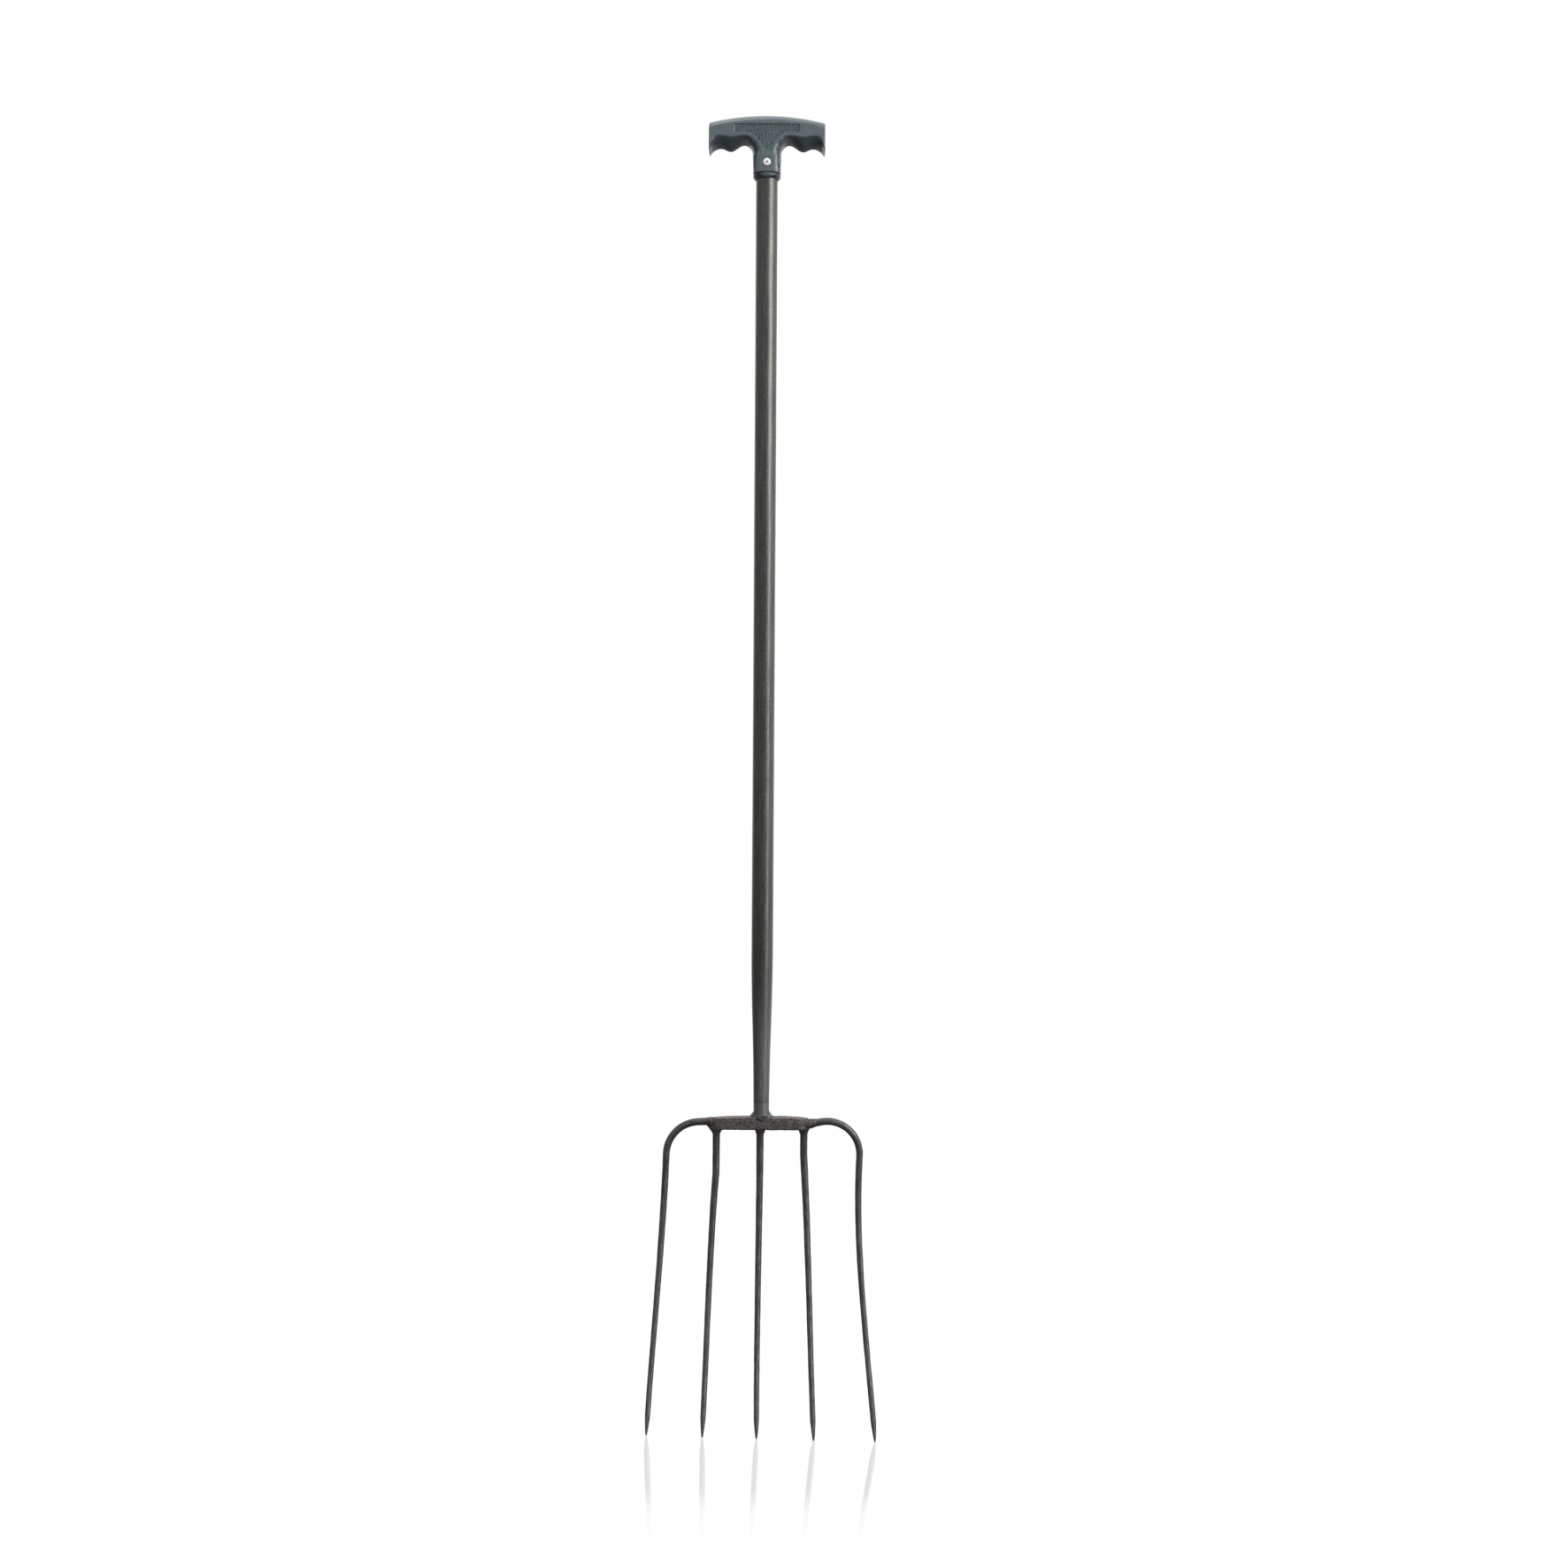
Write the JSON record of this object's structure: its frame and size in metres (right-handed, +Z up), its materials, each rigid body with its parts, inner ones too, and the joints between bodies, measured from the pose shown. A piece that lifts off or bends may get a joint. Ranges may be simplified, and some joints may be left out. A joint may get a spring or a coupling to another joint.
{
  "type": "manure fork",
  "caption": "Long handled manure fork with a moulded T grip, a steel tube shaft and a welded head of slim dished tines.",
  "frame": {"origin": "on the shaft axis, level with the crests of the two inner finger grooves, where the fork hangs on two prongs", "axes": "+Z up along the shaft to the grip, +X to the right seen from the front, -Y towards the front, the side to which the tines dish"},
  "size_m": [0.2302, 0.0758, 1.3342],
  "materials": {
    "grip_plastic": "satin",
    "tube_steel": "dark mill scale, lightly oiled",
    "head_steel": "dark forged",
    "weld_metal": "blued weld bead",
    "rivet_aluminium": "bright",
    "mandrel_steel": "plain"
  },
  "bodies": {
    "root": {"t_grip": "grip_plastic", "shaft_tube": "tube_steel", "grip_rivet": "rivet_aluminium", "rivet_mandrel": "mandrel_steel", "crossbar": "head_steel", "left_outer_tine": "head_steel", "left_inner_tine": "head_steel", "middle_tine": "head_steel", "right_inner_tine": "head_steel", "right_outer_tine": "head_steel", "shaft_weld": "weld_metal", "left_outer_tine_weld": "weld_metal", "left_inner_tine_weld": "weld_metal", "middle_tine_weld": "weld_metal", "right_inner_tine_weld": "weld_metal", "right_outer_tine_weld": "weld_metal"}
  },
  "joints": []
}
